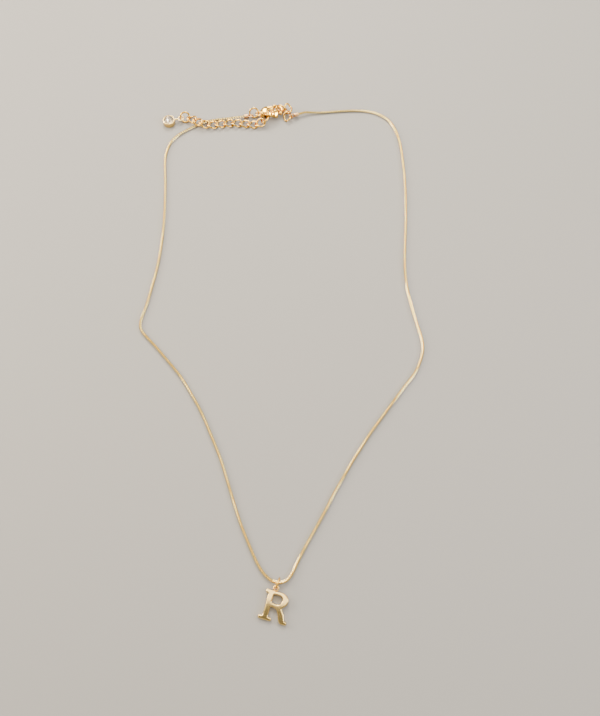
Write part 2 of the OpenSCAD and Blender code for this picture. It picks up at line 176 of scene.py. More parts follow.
def bent_ring(outer, wire, start, end, sides, steps, closed):
    """A round wire bent to a circle in the XY plane, from one angle to another in radians."""
    t = np.linspace(start, end, steps, endpoint=not closed)
    out = np.stack([np.cos(t), np.sin(t), 0 * t], 1)
    up = np.broadcast_to([0.0, 0.0, 1.0], out.shape)
    return sweep((outer - wire) / 2 * out, out, up, wire / 2, sides, closed)


def soldered_ring(outer, wire, sides=20, steps=96):
    """A ring of round wire with no seam."""
    return bent_ring(outer, wire, 0, 2 * np.pi, sides, steps, True)


def jump_ring(outer, wire, cut_at, sides=20, steps=96):
    """A ring of round wire whose two sawn ends nearly meet at one angle, in degrees."""
    cut, half_cut = math.radians(cut_at), SAW_CUT / outer
    return bent_ring(outer, wire, cut + half_cut, cut + 2 * np.pi - half_cut, sides, steps, False)


def lathe(profile, sides=48):
    """A profile of (distance from the axis, height) turned about Z: (r cos v, r sin v, z)."""
    profile = np.asarray(profile, float)
    v = np.linspace(0, 2 * np.pi, sides, endpoint=False)
    points = np.stack([profile[:, :1] * np.cos(v), profile[:, :1] * np.sin(v),
                       np.repeat(profile[:, 1:], sides, 1)], axis=-1)
    return points.reshape(-1, 3), [strip_faces(len(profile), sides, False, True),
                                   *end_faces(len(profile), sides)]


# Finishes

def linear(hex_colour):
    """An sRGB hex colour as linear RGBA."""
    c = np.array([int(hex_colour[k:k + 2], 16) for k in (1, 3, 5)]) / 255
    return (*np.where(c <= 0.04045, c / 12.92, ((c + 0.055) / 1.055) ** 2.4).tolist(), 1.0)


def add(tree, kind, settings=None, **inputs):
    """Adds a node, sets its settings, and sets or links its inputs by name."""
    made = tree.nodes.new(kind)
    for key, value in (settings or {}).items():
        setattr(made, key, value)
    for key, value in inputs.items():
        socket = made.inputs[key.replace("_", " ")]
        if isinstance(value, bpy.types.NodeSocket):
            tree.links.new(value, socket)
        else:
            socket.default_value = value
    return made


# width, depth and strength of the rub marks that tumbling leaves: real ones are finer, but then
# nothing of them would show
RUB_MM, RUB_DEPTH_MM, RUB_STRENGTH = 0.12, 0.01, 0.05
# how many octaves the noise has in the drift of tone and in the rub marks
DRIFT_DETAIL, RUB_DETAIL = 3.0, 4.0


def plated(name, bright, shade, roughness, haze, wear_mm):
    """Plated metal: tone drifts from bright to shade over wear_mm, with fine rub marks in the gloss."""
    material = bpy.data.materials.new(name)
    material.use_nodes = True
    tree = material.node_tree
    shader = tree.nodes["Principled BSDF"]
    where = add(tree, "ShaderNodeTexCoord").outputs["Object"]
    drift = add(tree, "ShaderNodeTexNoise", Vector=where, Scale=1 / (wear_mm * MM),
                Detail=DRIFT_DETAIL)
    tone = add(tree, "ShaderNodeMix", {"data_type": "RGBA"}, Factor=drift.outputs["Fac"],
               A=linear(shade), B=linear(bright))
    tree.links.new(tone.outputs["Result"], shader.inputs["Base Color"])
    rubs = add(tree, "ShaderNodeTexNoise", Vector=where, Scale=1 / (RUB_MM * MM),
               Detail=RUB_DETAIL)
    gloss = add(tree, "ShaderNodeMapRange", Value=rubs.outputs["Fac"], To_Min=roughness,
                To_Max=roughness + haze)
    tree.links.new(gloss.outputs["Result"], shader.inputs["Roughness"])
    bump = add(tree, "ShaderNodeBump", Height=rubs.outputs["Fac"], Strength=RUB_STRENGTH,
               Distance=RUB_DEPTH_MM * MM)
    tree.links.new(bump.outputs["Normal"], shader.inputs["Normal"])
    shader.inputs["Metallic"].default_value = 1.0
    return material


def simple(name, colour, **inputs):
    """A plain shader whose look is all on its own sockets."""
    material = bpy.data.materials.new(name)
    material.use_nodes = True
    shader = material.node_tree.nodes["Principled BSDF"]
    shader.inputs["Base Color"].default_value = linear(colour)
    for key, value in inputs.items():
        shader.inputs[key.replace("_", " ")].default_value = value
    return material


# champagne gold over the cast letter and the bezel, tumble-polished: pale, with a deep clear gloss
CAST_GOLD = plated("champagne_gold_plate_polished", "#efcf84", "#dab66a",
                   roughness=0.10, haze=0.06, wear_mm=1.6)
# yellow plate on the pressed brass box links: small bright glints
CHAIN_GOLD = plated("yellow_gold_plate_box_chain", "#fbe49a", "#eecd7a",
                    roughness=0.12, haze=0.10, wear_mm=2.5)
# yellow plate on drawn brass wire and on the cast clasp: the warmest tone, with hard bright lines
WIRE_GOLD = plated("yellow_gold_plate_bright", "#f0c258", "#daa842",
                   roughness=0.08, haze=0.08, wear_mm=1.8)
# thin plate over the copper of the crimped caps: rosier than the rest, with softer highlights
CAP_GOLD = plated("rose_gold_plate_crimp", "#f0c488", "#dca468",
                  roughness=0.12, haze=0.10, wear_mm=0.8)
# lead-free crystal glass: clear, faintly champagne, with sharp flashes
CRYSTAL = simple("cut_crystal_glass", "#fff6e8", Roughness=0.02, IOR=1.58, Transmission_Weight=1.0)
# mirror foil behind the crystal: throws the light back through the facets
FOIL = simple("mirror_foil_back", "#f4ead8", Roughness=0.12, Metallic=1.0)


# Box chain: square links of flat strip along the route

CHAIN_D = 0.95
LINK_PITCH, LINK_SIDE, STRIP_T, STRIP_W, LINK_BEND = 0.42, 0.83, 0.18, 0.465, 0.19
# how far the strip's outer face swells in the middle and drops at the edges, and its inner chamfer
STRIP_SWELL, STRIP_DROP, STRIP_CHAMFER = 0.005, 0.035, 0.02
ROUTE = [
    (-13.2, 83.1), (-14.7, 82.9), (-16.2, 82.7), (-19.6, 82.3), (-23.5, 82), (-28, 81), (-32.5, 78.5),
    (-36.5, 76), (-39.5, 73), (-41, 69), (-41.5, 64.5), (-41, 59.5), (-40.5, 54), (-40, 43), (-40, 32),
    (-41, 21.5), (-42, 16), (-43, 10.5), (-44, 6), (-45, 3), (-45, 0), (-43, -2.5), (-40, -5.5),
    (-37, -9), (-34, -12.5), (-31, -16), (-28.5, -20), (-26, -24), (-23.5, -28.5), (-21.5, -33),
    (-19.5, -37.5), (-17.5, -42), (-16, -46.5), (-14.5, -51), (-11.5, -60), (-9.5, -64.5), (-7.5, -69),
    (-6, -72), (-4.4, -74.5), (-2.3, -76.5), (-0.1, -77.3), (2.1, -76.9), (3.7, -75), (5, -72.2),
    (6.5, -69), (11.5, -60.5), (14, -56), (16, -52), (18.5, -48), (21, -43.5), (24, -39), (26.5, -35),
    (29.5, -31), (32.5, -27), (35.5, -23), (38.5, -19), (41.5, -15.5), (43.5, -11.5), (45, -7),
    (44.5, -2.5), (43, 2.5), (42, 7.5), (41, 13), (40.5, 18.5), (40.5, 24), (41.5, 36), (42, 42),
    (42.5, 54), (42, 66), (41.5, 72), (40, 78.5), (37, 83), (32, 85.5), (26, 86), (19, 85.5),
    (13.5, 84.9), (9.8, 84.8), (7.7, 84.6), (5.95, 83.9), (4.45, 83.35)]
# which point hangs in the pendant ring, and the chain's heights there and at both ends
HANG_POINT = 40
HANG_Z, LEFT_Z, RIGHT_Z = 1.025, 0.7782, 1.12
# shares of each lift at that point and at the ends, and at the points beside them
HANG_LIFT, END_LIFT = (1.25, 0.65, 0.1), (1, 1, 1, 0.4)
# slow twists of the chain: degrees, millimetres for each radian, and where each starts
TWISTS = ((9, 7.3, 0.0), (6, 3.1, 1.0))
# the first link's roll about the course, in degrees, so that its axis points half way up
LINK_ROLL = 45


def chain_course():
    """The route's points with their heights, and one more beyond each end, run on straight."""
    low = CHAIN_D / 2
    points = np.array([(x, y, low) for x, y in ROUTE], float)
    for k, share in enumerate(HANG_LIFT):
        for i in {HANG_POINT - k, HANG_POINT + k}:
            points[i, 2] += (HANG_Z - low) * share
    for k, share in enumerate(END_LIFT):
        points[k, 2] += (LEFT_Z - low) * share
        points[-1 - k, 2] += (RIGHT_Z - low) * share
    return np.concatenate([[2 * points[0] - points[1]], points, [2 * points[-1] - points[-2]]])


def course_line(control, steps=40):
    """The cubic B-spline of the control points, as steps dense points for each stretch."""
    u = np.linspace(0, 1, steps, endpoint=False)[:, None]
    weights = [(1 - u) ** 3 / 6, (3 * u ** 3 - 6 * u ** 2 + 4) / 6,
               (-3 * u ** 3 + 3 * u ** 2 + 3 * u + 1) / 6, u ** 3 / 6]
    line = [sum(w * control[i + k] for k, w in enumerate(weights)) for i in range(len(control) - 3)]
    last = (control[-3] + 4 * control[-2] + control[-1]) / 6
    return np.concatenate(line + [last[None]])


def box_link():
    """One square link: a strip's profile, crowned outside, carried round a square with round corners.

    Each corner is three stations on an arc, at the corner's direction and 45 degrees to either side.
    """
    straight = (LINK_SIDE - STRIP_T) / 2 - LINK_BEND
    corner = np.repeat(np.arange(4) * 90 + 45, 3)
    angle = np.radians(corner + np.tile([-45, 0, 45], 4))
    out = np.stack([np.cos(angle), np.sin(angle)], 1)
    quadrant = np.sign(np.stack([np.cos(np.radians(corner)), np.sin(np.radians(corner))], 1))
    centre = quadrant * straight + LINK_BEND * out
    half, edge = STRIP_T / 2, STRIP_W / 2
    profile = np.array([(half - STRIP_DROP, -edge), (half + STRIP_SWELL, 0), (half - STRIP_DROP, edge),
                        (-half, edge - STRIP_CHAMFER), (-half, STRIP_CHAMFER - edge)])
    flat = centre[:, None] + profile[None, :, :1] * out[:, None]
    depth = np.broadcast_to(profile[None, :, 1], flat.shape[:2])
    points = np.stack([flat[..., 0], depth, flat[..., 1]], -1)
    return points.reshape(-1, 3), strip_faces(len(angle), len(profile), True, True)


def chain_links():
    """Equal links along the course, every second one turned a quarter, with slow twists on top."""
    line = course_line(chain_course())
    length = np.concatenate([[0], np.cumsum(np.linalg.norm(np.diff(line, axis=0), axis=1))])
    count = round((length[-1] - LINK_SIDE) / LINK_PITCH) + 1
    s = np.linspace(LINK_SIDE / 2, length[-1] - LINK_SIDE / 2, count)

    def on_course(s):
        return np.stack([np.interp(s, length, line[:, k]) for k in range(3)], 1)

    along = unit(on_course(s + STRIP_T) - on_course(s - STRIP_T))
    side = unit(np.cross([0.0, 0.0, 1.0], along))
    up = np.cross(along, side)
    twist = sum(size * np.sin(s / stretch + start) for size, stretch, start in TWISTS)
    roll = np.radians(LINK_ROLL + 90 * (np.arange(count) % 2) + twist)[:, None]
    axis = np.cos(roll) * side + np.sin(roll) * up
    frames = np.stack([along, axis, np.cross(along, axis)], 1)
    link, faces = box_link()
    points = on_course(s)[:, None] + np.einsum("pk,nkx->npx", link, frames)
    faces = (faces[None] + (np.arange(count) * len(link))[:, None, None]).reshape(-1, 4)
    return points.reshape(-1, 3), [faces], 0


piece("chain_links", [chain_links()], "root", ["box_chain"], [CHAIN_GOLD], sharp=50)


# Extender: curb links of round wire, each where its solid lies

LINK_LONG, LINK_WIDE, LINK_WIRE, LINK_TWIST = 1.85, 1.35, 0.6, 45
LINK_TURNS = [  # azimuth, climb and roll of each link, in degrees
    (85, 8, 0), (92, 10, 10), (185, 15, 90), (240, 15, 0), (210, 10, 0), (235, -40, 0), (195, -15, -15),
    (173, 0, 0), (173, 0, 0), (178, 0, 0), (187, 0, 0), (189, 0, 0), (185, 2, 0), (168, 12, -5),
    (145, 0, 0), (145, -10, 0)]


def curb_link(steps=48, sides=14):
    """An oval wire twisted by w = 45 degrees times cos t: (a cos t, b sin t cos w, b sin t sin w).

    Here a is LINK_LONG and b is LINK_WIDE, both to the wire's centre.
    """
    t = np.linspace(0, 2 * np.pi, steps, endpoint=False)

    def centre_line(t):
        w = np.radians(LINK_TWIST) * np.cos(t)
        return np.stack([LINK_LONG * np.cos(t), LINK_WIDE * np.sin(t) * np.cos(w),
                         LINK_WIDE * np.sin(t) * np.sin(w)], 1)

    w = np.radians(LINK_TWIST) * np.cos(t)
    near = np.pi / steps
    tangent = unit(centre_line(t + near) - centre_line(t - near))
    out = unit(np.cross(tangent, np.stack([0 * t, -np.sin(w), np.cos(w)], 1)))
    return sweep(centre_line(t), out, np.cross(tangent, out), LINK_WIRE / 2, sides, True)


for number, turns in enumerate(LINK_TURNS, 1):
    node_name = f"link_{number:02d}"
    piece(f"extender_{node_name}", at_pose([curb_link()], corner_mean(node_name), turn(*turns)),
          "root", [node_name], [WIRE_GOLD])


# Letter and its ring

# the letter's place and lean, where its solid has them
LETTER_AT, LETTER_TURN = np.array([-5.66711, -86.1953, 0.0]), turn(-16, 0, 2.77451)
LETTER_T, LETTER_FOOT_ROUND, LETTER_CROWN = 1.2, 0.12, 0.12
LETTER_ROUND_W, LETTER_ROUND_H, LETTER_DEPTH = 0.36, 0.3, 0.39
LOOP_AT, LOOP_D, LOOP_WIRE = (2.739, 8.78), 1.8, 0.45
BOWL_AT, BOWL_W, BOWL_H = (4.8, 6.03), 2.25, 2.0
BOWL = [(BOWL_AT[0] + BOWL_W * math.cos(a), BOWL_AT[1] + BOWL_H * math.sin(a), 0)
        for a in np.radians(np.arange(-52, 91, 6))]
# corners of the outline and their rounding radii, anticlockwise, in mm from the left foot
LETTER_OUTER = [
    (-0.05, 0.0, 0.42), (3.75, 0.0, 0.44), (3.75, 0.96, 0.44), (2.62, 1.04, 0.35), (2.62, 3.72, 0.25),
    (4.2, 3.6, 1.0), (5.0, 2.5, 1.6), (5.6, 0.75, 1.0), (6.2, 0.05, 0.8), (8.1, 0.07, 0.44),
    (8.1, 1.0, 0.44), (7.3, 1.1, 0.5), (6.75, 2.65, 2.0), (5.75, 3.98, 0.2), *BOWL,
    (0.2, 8.03, 0.46), (0.2, 7.03, 0.46), (1.06, 6.98, 0.3), (1.06, 1.05, 0.35), (-0.05, 0.98, 0.42)]
LETTER_COUNTER = [(2.62, 4.85, 0.25), (5.3, 4.62, 1.25), (5.35, 7.15, 1.2), (2.7, 7.02, 0.2)]
# points on each rounded corner, and the largest share of a side that a corner may take
ARC_POINTS, CORNER_SHARE = 13, 0.49


def rounded(corners, spacing=0.09):
    """A closed outline whose corners are arcs tangent to both sides, as points an even way apart."""
    corners = np.array(corners, float)
    line = []
    for before, (x, y, radius), after in zip(np.roll(corners, 1, 0), corners, np.roll(corners, -1, 0)):
        here = np.array([x, y])
        if radius == 0:
            line.append(here[None])
            continue
        a, b = unit(before[:2] - here), unit(after[:2] - here)
        half = math.acos(np.clip(a @ b, -1, 1)) / 2
        reach = min(radius / math.tan(half), CORNER_SHARE * np.linalg.norm(before[:2] - here),
                    CORNER_SHARE * np.linalg.norm(after[:2] - here))
        centre = here + unit(a + b) * reach / math.cos(half)
        start, end = here + a * reach - centre, here + b * reach - centre
        sweep_angle = math.atan2(start[0] * end[1] - start[1] * end[0], start @ end)
        share = np.linspace(0, 1, ARC_POINTS)[:, None] * sweep_angle
        line.append(centre + np.cos(share) * start + np.sin(share) * np.array([-start[1], start[0]]))
    line = np.concatenate(line)
    loop = np.concatenate([line, line[:1]])
    length = np.concatenate([[0], np.cumsum(np.linalg.norm(np.diff(loop, axis=0), axis=1))])
    s = np.linspace(0, length[-1], int(length[-1] / spacing), endpoint=False)
    return np.stack([np.interp(s, length, loop[:, 0]), np.interp(s, length, loop[:, 1])], 1)


def edge_distance(points, loops):
    """How far each point is from the nearest stretch of the outlines."""
    best = np.full(len(points), np.inf)
    for loop in loops:
        ab = np.roll(loop, -1, 0) - loop
        share = np.clip(((points[:, None] - loop) * ab).sum(-1) / (ab * ab).sum(-1), 0, 1)
        gap = np.linalg.norm(points[:, None] - loop - share[..., None] * ab, axis=-1).min(1)
        best = np.minimum(best, gap)
    return best


def inside(points, loops):
    """True where a ray to the right crosses the outlines an odd number of times."""
    odd = np.zeros(len(points), bool)
    px, py = points.T[..., None]
    for loop in loops:
        (x0, y0), (x1, y1) = loop.T, np.roll(loop, -1, 0).T
        rise = np.where(y1 == y0, 1, y1 - y0)
        odd ^= (((y0 > py) != (y1 > py)) & (px < x0 + (py - y0) * (x1 - x0) / rise)).sum(1) % 2 == 1
    return odd


def level_fill(rims, spacing=0.25, clear=0.4, touch=1e-6):
    """Triangles between outlines: their own points and a square grid of points inside, joined evenly.

    The grid's points keep a share of its spacing clear of the outlines. Points that touch are joined.
    """
    low, high = rims[0].min(0), rims[0].max(0)
    columns, rows = (np.arange(a, b, spacing) for a, b in zip(low, high))
    grid = np.stack(np.meshgrid(columns, rows), -1).reshape(-1, 2)
    grid = grid[inside(grid, rims)]
    grid = grid[edge_distance(grid, rims) > clear * spacing]
    flat = np.concatenate([*rims, grid])
    starts = np.cumsum([0] + [len(r) for r in rims])
    edges = np.concatenate([np.column_stack([np.arange(len(r)), np.roll(np.arange(len(r)), -1)]) + start
                            for start, r in zip(starts, rims)])
    made = delaunay_2d_cdt(flat.tolist(), edges.tolist(), [], 0, touch)
    flat, triangles = flat[[sources[0] for sources in made[3]]], np.array(made[2])
    triangles = triangles[inside(flat[triangles].mean(1), rims)]
    a, b, c = (flat[triangles[:, k]] for k in range(3))
    turned = (b[:, 0] - a[:, 0]) * (c[:, 1] - a[:, 1]) - (b[:, 1] - a[:, 1]) * (c[:, 0] - a[:, 0]) < 0
    triangles[turned] = triangles[turned][:, ::-1]
    return flat, triangles


def weld(points, faces):
    """Joins corners that lie within a thousandth of a micrometre of each other."""
    _, first, back = np.unique(np.round(points, 6), axis=0, return_index=True, return_inverse=True)
    return points[first], [back.ravel()[f] for f in faces]


def casting(loops, section, crown=0.0):
    """A flat casting: a section of (depth in from the edge, height) carried round each outline.

    The first outline runs anticlockwise and the holes clockwise, so the metal is on the left of each.
    The section starts and ends at one depth, where a level fill closes the casting below and above. The
    crown lowers each point by its share of the height, times the square of its way from the middle
    along Y.
    """
    section = np.array(section, float)
    bands, faces, rims, base = [], [], [], 0
    for loop in loops:
        tangent = unit(np.roll(loop, -1, 0) - np.roll(loop, 1, 0))
        inward = np.stack([-tangent[:, 1], tangent[:, 0]], 1)
        flat = loop[:, None] + section[None, :, :1] * inward[:, None]
        height = np.broadcast_to(section[None, :, 1:], (*flat.shape[:2], 1))
        bands.append(np.concatenate([flat, height], -1).reshape(-1, 3))
        faces.append(strip_faces(len(loop), len(section), True, False) + base)
        rims.append(flat[:, 0])
        base += len(loop) * len(section)
    flat, triangles = level_fill(rims)
    skins = [np.column_stack([flat, np.full(len(flat), h)]) for h in (section[0, 1], section[-1, 1])]
    faces += [triangles[:, ::-1] + base, triangles + base + len(flat)]
    points = np.concatenate([*bands, *skins])
    share = (points[:, 2] - section[:, 1].min()) / np.ptp(section[:, 1])
    low, high = loops[0][:, 1].min(), loops[0][:, 1].max()
    points[:, 2] -= crown * share * ((points[:, 1] - (low + high) / 2) / ((high - low) / 2)) ** 2
    return weld(points, faces)


def eased_section(low, high, depth, round_low, round_w, round_h, steps=8):
    """A wall with a quarter circle at its foot and a quarter ellipse on top, level in to a depth."""
    angle = np.linspace(0, np.pi / 2, steps)
    lower = np.column_stack([round_low * (1 - np.sin(angle)), low + round_low * (1 - np.cos(angle))])
    upper = np.column_stack([round_w * (1 - np.cos(angle)), high - round_h * (1 - np.sin(angle))])
    return np.concatenate([[(depth, low)], lower, upper, [(depth, high)]])


letter_section = eased_section(0, LETTER_T, LETTER_DEPTH,
                               LETTER_FOOT_ROUND, LETTER_ROUND_W, LETTER_ROUND_H)
letter = casting([rounded(LETTER_OUTER), rounded(LETTER_COUNTER)[::-1]], letter_section, LETTER_CROWN)
loop_points, loop_faces = soldered_ring(LOOP_D, LOOP_WIRE)
letter_loop = (loop_points + [*LOOP_AT, LETTER_T / 2], loop_faces)
piece("letter_cast", at_pose([letter, letter_loop], LETTER_AT, LETTER_TURN),
      "root", ["letter"], [CAST_GOLD], sharp=60)

RING_D, RING_WIRE, RING_TURN, RING_CUT = 3.4, 0.45, -110, 60
piece("pendant_jump_ring",
      at_pose([jump_ring(RING_D, RING_WIRE, RING_CUT)], middle("pendant_ring"), turn(RING_TURN, 0, 90)),
      "root", ["pendant_ring"], [WIRE_GOLD])


# Rings of the clasp and of the drop

CLASP_RING_D, DROP_RING_D, BIG_RING_WIRE = 3.8, 3.9, 0.6
CLASP_RING_LEAN, DROP_RING_LEAN = 55, 48
CLASP_RING_CUT, DROP_RING_CUT = 100, 80
piece("clasp_jump_ring", at_pose([jump_ring(CLASP_RING_D, BIG_RING_WIRE, CLASP_RING_CUT)],
                                 middle("clasp_ring"), turn(0, 0, CLASP_RING_LEAN)),
      "root", ["clasp_ring"], [WIRE_GOLD])
piece("drop_jump_ring", at_pose([jump_ring(DROP_RING_D, BIG_RING_WIRE, DROP_RING_CUT)],
                                middle("drop_ring"), turn(0, 0, DROP_RING_LEAN)),
      "root", ["drop_ring"], [WIRE_GOLD])


# Crimped chain ends

CAP_D, CAP_L, CAP_GRIP, CAP_BORE, CAP_LOOP_D, CAP_LOOP_WIRE = 1.45, 1.5, 0.9, 1.05, 2.2, 0.42
CAP_REACH = CAP_L - CAP_GRIP + (CAP_LOOP_D - CAP_LOOP_WIRE) / 2
CAP_LIP, CAP_FLOOR, CAP_DOME, NEAR_AXIS = 0.06, 0.04, 0.22, 0.001
CRIMPS, CRIMP_DEPTH, CRIMP_HALF_W, CRIMP_REACH = (0.42, 0.88), 0.07, 0.08, 0.18
CAP_ROLLS = {"left": -30, "right": 90}


def crimped_end():
    """A bored cap along X with a rolled lip and two crimp grooves, closed by a dome, and its loop.

    A groove's depth falls off from its middle as e to the minus square of the way over its half width.
    """
    r, bore, mouth, front = CAP_D / 2, CAP_BORE / 2, -CAP_GRIP, CAP_L - CAP_GRIP
    profile = [(NEAR_AXIS, CAP_FLOOR), (bore, CAP_FLOOR), (bore, mouth + CAP_LIP),
               (bore + CAP_LIP, mouth), (r - CAP_LIP, mouth), (r, mouth + CAP_LIP),
               (r, mouth + CAP_DOME)]
    for groove in CRIMPS:
        profile += [(r - CRIMP_DEPTH * math.exp(-(x / CRIMP_HALF_W) ** 2), mouth + groove + x)
                    for x in np.linspace(-CRIMP_REACH, CRIMP_REACH, 9)]
    dome = np.radians([0, 20, 40, 60, 75, 89.9])
    profile += [(r * math.cos(a), front - CAP_DOME + CAP_DOME * math.sin(a)) for a in dome]
    cap, cap_faces = lathe(profile, sides=36)
    loop, loop_faces = soldered_ring(CAP_LOOP_D, CAP_LOOP_WIRE, sides=16, steps=64)
    return [(placed(cap, spin=turn(0, -90, 0)), cap_faces), (loop + [CAP_REACH, 0, 0], loop_faces)]


def fit_crimp(side, ends):
    """A crimped end on the chain's last point, in line with its two neighbours, listed outwards."""
    heading = unit(ends[2] - ends[0])
    azimuth, climb = math.atan2(heading[1], heading[0]), math.asin(heading[2])
    spin = turn(math.degrees(azimuth), math.degrees(climb), CAP_ROLLS[side])
    at = (ends[0] + 4 * ends[1] + ends[2]) / 6
    piece(f"crimped_end_{side}", at_pose(crimped_end(), at, spin), "root", [f"chain_end_{side}"],
          [CAP_GOLD])


fit_crimp("left", chain_course()[:3][::-1])
fit_crimp("right", chain_course()[-3:])


# Lobster clasp, along X from its tail hole, with its lever on the -Y side

CLASP_TURN, CLASP_T, TAIL_D, TAIL_WIRE, HOOK_WIRE = 13, 2.2, 2.2, 0.55, 1.05
ARM_Y, NOSE_X, HOOK_SWEEP, ARM_SUNK = 1.675, 6.9, 150, 1.1
# shares of the wire: the arm's root, how much slimmer its middle is, and what its beak adds
ARM_ROOT, ARM_SLIMMING, ARM_BEAK = 1.14, 0.2, 0.1
# shares of the arm's length: where the slimming ends, and how far back the beak fades
SLIM_END, BEAK_FADE = 1 / 1.15, 0.06
BODY_D, BODY_L, PEAR_X, PEAR_END = 4.3, 3.8, 0.7, 3.2
# the pear's narrow end as a share of its width, and how much its far end narrows
PEAR_NECK, PEAR_TAPER = 0.25, 0.12
# how far the cheeks' ends are rounded, and the shares of height and width that are left there
CHEEK_ROUND, CHEEK_TIP, CHEEK_EDGE = 0.3, 0.02, 0.35
# the sine arch over the cheeks: its lowest share, and where it starts and ends
ARCH_BASE, ARCH_FROM, ARCH_TO = 0.35, PEAR_X - 0.3, BODY_L + 0.2
RIVET_X, RIVET_Y, RIVET_D, RIVET_INSET, RIVET_HEAD_H, RIVET_FLARE = 3.1, -0.9, 0.7, 0.05, 0.1, 1.2
LEVER_T, LEVER_TIP_X, LEVER_BORE, LEVER_R, LEVER_DEPTH, LEVER_EASE = 0.9, 7.01, 0.78, 0.85, 0.15, 0.14
SLOT_X, SLOT_Y, SLOT_HALF, CLASP_SPACING = 1.9, 0.55, 0.57, 0.07
CORE_HALF, CORE_ROUND, CORE_DEPTH, CORE_EASE = 0.59, 0.12, 0.05, 0.03
# how far the core stays back at both ends, and its share of the cheeks' width
CORE_INSET, CORE_SHARE = 0.05, 0.985
CLASP_SPIN = turn(CLASP_TURN)
CLASP_AT = middle("clasp_rivet") - CLASP_SPIN @ [RIVET_X, RIVET_Y, 0]


def half_width(x):
    """The shoulder's half width: a quarter sine from its neck to full width, then less by a square."""
    share = np.clip((x - PEAR_X) / (PEAR_END - PEAR_X), 0, 1)
    past = np.clip((x - PEAR_END) / (BODY_L - PEAR_END), 0, 1)
    pear = PEAR_NECK + (1 - PEAR_NECK) * np.sin(np.pi / 2 * share)
    return BODY_D / 2 * pear * (1 - PEAR_TAPER * past ** 2)


def cheek(side):
    """One half shell of the shoulder: a half ellipse as wide as the pear, carried along X.

    The ellipse's height is a sine arch, highest in the middle. Towards each end it shrinks as the sine
    of an angle while x goes on as its cosine.
    """
    ease = np.linspace(0, np.pi / 2, 6)
    level = np.linspace(PEAR_X + CHEEK_ROUND, BODY_L - CHEEK_ROUND, 18)[1:-1]
    x = np.concatenate([PEAR_X + CHEEK_ROUND * (1 - np.cos(ease)), level,
                        BODY_L - CHEEK_ROUND * (1 - np.cos(ease[::-1]))])
    end = np.concatenate([np.sin(ease), np.ones(len(level)), np.sin(ease[::-1])])
    end = CHEEK_TIP + (1 - CHEEK_TIP) * end
    arch = ARCH_BASE + (1 - ARCH_BASE) * np.sin(np.pi * (x - ARCH_FROM) / (ARCH_TO - ARCH_FROM))
    v = np.linspace(0, np.pi, 25)
    y = (half_width(x) * (CHEEK_EDGE + (1 - CHEEK_EDGE) * end))[:, None] * np.cos(v)
    z = SLOT_HALF + ((CLASP_T / 2 - SLOT_HALF) * arch * end)[:, None] * np.sin(v)
    points = np.stack([np.broadcast_to(x[:, None], y.shape), y, side * z], -1)
    return points.reshape(-1, 3), [strip_faces(len(x), len(v), False, True), *end_faces(len(x), len(v))]


def core():
    """The solid between the cheeks, with the slot for the lever left open on the -Y side."""
    x = np.linspace(PEAR_X + CORE_INSET, BODY_L - CORE_INSET, 16)
    tail_x = x[x < SLOT_X - CORE_ROUND]
    wall, tail_wall = CORE_SHARE * half_width(x), CORE_SHARE * half_width(tail_x)
    rounding, tail_rounding = 0 * x, 0 * tail_x
    rounding[[0, -1]] = tail_rounding[0] = CORE_ROUND
    corners = [*zip(x[::-1], wall[::-1], rounding[::-1]), *zip(tail_x, -tail_wall, tail_rounding),
               (SLOT_X, -CORE_SHARE * half_width(SLOT_X), CORE_ROUND),
               (SLOT_X, SLOT_Y, CORE_ROUND), (x[-1], SLOT_Y, CORE_ROUND)]
    section = eased_section(-CORE_HALF, CORE_HALF, CORE_DEPTH, CORE_EASE, CORE_EASE, CORE_EASE,
                            steps=3)
    return casting([rounded(corners, CLASP_SPACING)], section)


def hooked_arm():
    """The arm from the shoulder round the nose: a round bar, slimmer by a half sine in between.

    The beak at its tip falls off as e to the minus square of the way over BEAK_FADE.
    """
    bend = np.radians(np.linspace(90, 90 - HOOK_SWEEP, 40))
    straight = np.linspace(BODY_L - ARM_SUNK, NOSE_X, 20)[:-1]
    round_nose = np.stack([NOSE_X + ARM_Y * np.cos(bend), ARM_Y * np.sin(bend), 0 * bend], 1)
    path = np.concatenate([np.stack([straight, 0 * straight + ARM_Y, 0 * straight], 1), round_nose])
    way = np.linspace(0, 1, len(path))
    slimming = ARM_SLIMMING * np.sin(np.pi * np.clip(way / SLIM_END, 0, 1))
    beak = ARM_BEAK * np.exp(-((way - 1) / BEAK_FADE) ** 2)
    return tube(path, HOOK_WIRE / 2 * (ARM_ROOT - slimming + beak), sides=20)


def lever():
    """The lever: round the rivet, out to the thumb tab, round the tip and back, with its bore.

    Its outline is corners with their rounding radii, anticlockwise, and the bore runs clockwise.
    """
    around = np.radians(np.arange(70, 271, 12))
    head = zip(RIVET_X + LEVER_R * np.cos(around), RIVET_Y + LEVER_R * np.sin(around), 0 * around)
    outline = [*head, (4.1, -2.03, 0.8), (6.0, -2.98, 0.3), (6.5, -2.98, 0.25),
               (LEVER_TIP_X - 0.25, -2.08, 0.3), (LEVER_TIP_X, -1.24, 0.2), (4.5, -1.08, 0.8),
               (3.6, -0.2, 0.25)]
    around = np.radians(np.arange(0, -360, -15))
    bore = LEVER_BORE / 2 * np.column_stack([np.cos(around), np.sin(around)]) + [RIVET_X, RIVET_Y]
    half = LEVER_T / 2
    section = eased_section(-half, half, LEVER_DEPTH, LEVER_EASE, LEVER_EASE, LEVER_EASE, steps=5)
    return casting([rounded(outline, CLASP_SPACING), bore], section)


def rivet():
    """The rivet: a pin with a low round head at each end."""
    dome = np.radians([0, 25, 50, 70, 89.9])
    r, rim = RIVET_D / 2, CLASP_T / 2 - RIVET_INSET - RIVET_HEAD_H
    head = [(RIVET_FLARE * r * math.cos(a), rim + RIVET_HEAD_H * math.sin(a)) for a in dome]
    pin = [(r, -rim), (r, rim)]
    points, faces = lathe([(r, -z) for r, z in head[::-1]] + pin + head, sides=28)
    return points + [RIVET_X, RIVET_Y, 0], faces


